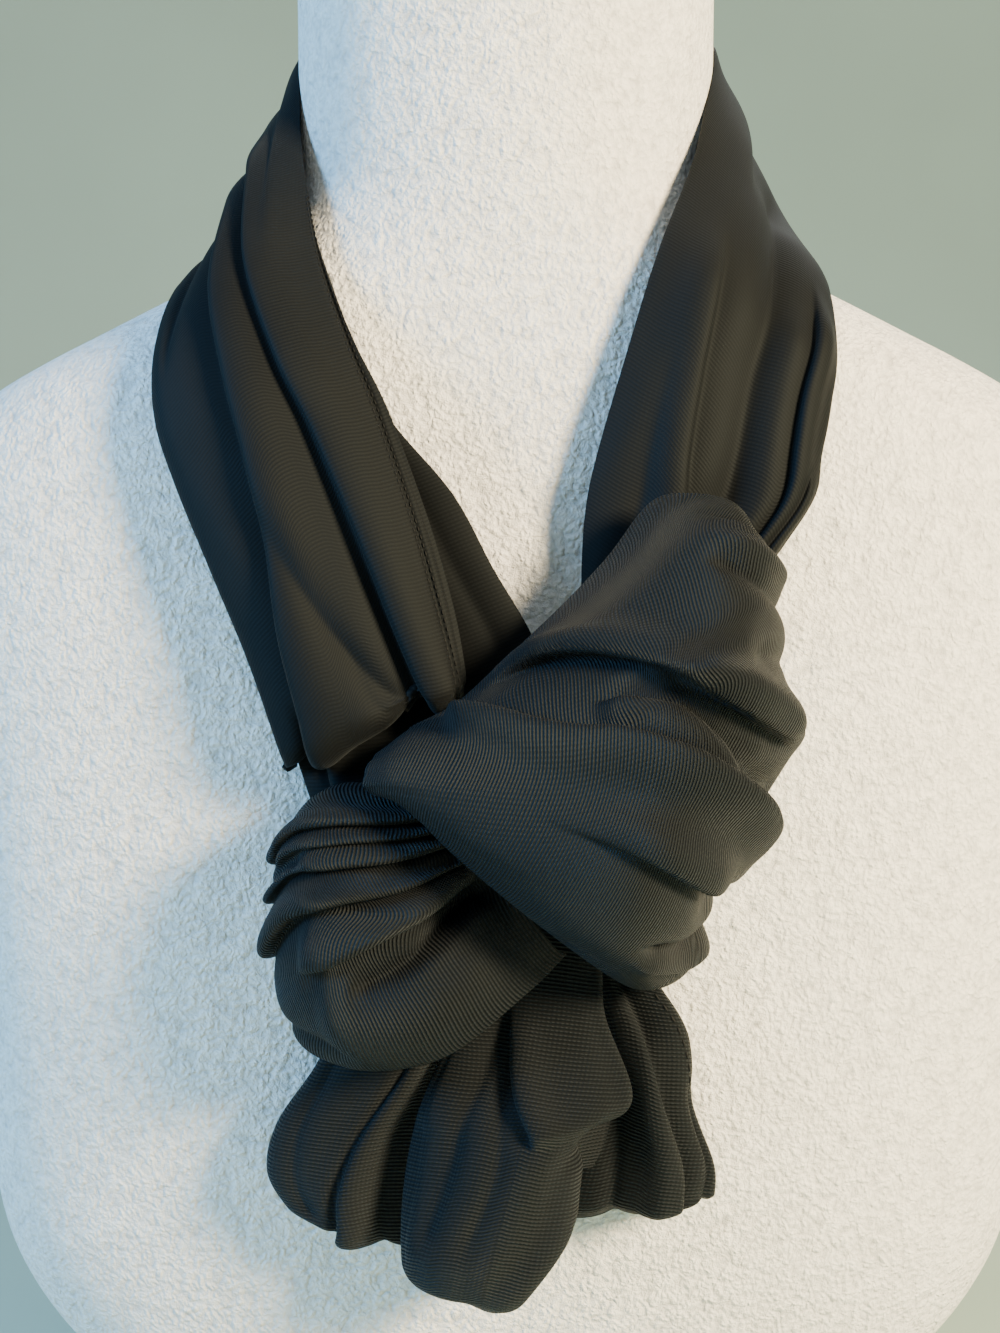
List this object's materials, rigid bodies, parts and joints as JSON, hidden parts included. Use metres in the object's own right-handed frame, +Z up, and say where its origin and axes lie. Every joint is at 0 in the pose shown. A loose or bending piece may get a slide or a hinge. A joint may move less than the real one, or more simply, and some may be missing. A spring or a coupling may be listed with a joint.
{
  "type": "infinity scarf on a limbless display bust",
  "caption": "Infinity scarf of fine jersey looped round a limbless display bust, one end wrapped over the other in a soft front knot with a short hanging tail.",
  "frame": {"origin": "centre of the display bust's flat base", "axes": "+Z up through the neck, the front with the knot faces -Y, +X is the viewer's right"},
  "size_m": [0.309, 0.2065, 0.417],
  "materials": {
    "scarf_jersey": "black fine-rib jersey, soft sheen",
    "white_plush": "white short-pile plush, matt"
  },
  "bodies": {
    "root": {"band_back": "scarf_jersey", "band_left": "scarf_jersey", "band_left_inner": "scarf_jersey", "band_left_tuck": "scarf_jersey", "band_right": "scarf_jersey", "knot_over": "scarf_jersey", "knot_under": "scarf_jersey", "tail_left": "scarf_jersey", "tail_centre": "scarf_jersey", "tail_right": "scarf_jersey", "display_bust": "white_plush"}
  },
  "joints": []
}
